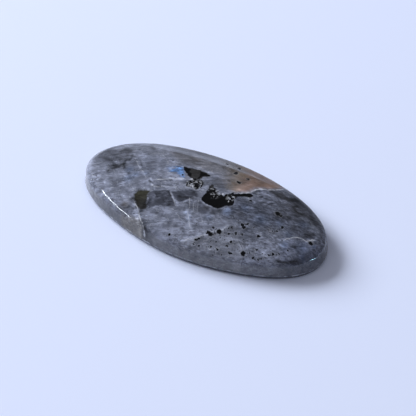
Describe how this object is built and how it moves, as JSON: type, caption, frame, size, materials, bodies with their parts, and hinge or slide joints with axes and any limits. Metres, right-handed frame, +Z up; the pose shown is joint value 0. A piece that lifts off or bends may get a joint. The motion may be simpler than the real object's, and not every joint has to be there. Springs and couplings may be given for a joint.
{
  "type": "larvikite oval cabochon",
  "caption": "Polished long-oval cabochon of larvikite: low dome, rounded shoulder, steep girdle wall and a flat bevelled base, to rest on a surface or sit in a bezel.",
  "frame": {"origin": "middle of the flat base, on the surface that the stone rests on", "axes": "+X along the oval's length, +Y across its width, +Z up through the crown of the dome"},
  "size_m": [0.0399, 0.0201, 0.0055],
  "materials": {
    "larvikite": "high polish on translucent grey feldspar with blue schiller, black grains and a tan stain"
  },
  "bodies": {
    "root": {"stone": "larvikite"}
  },
  "joints": []
}
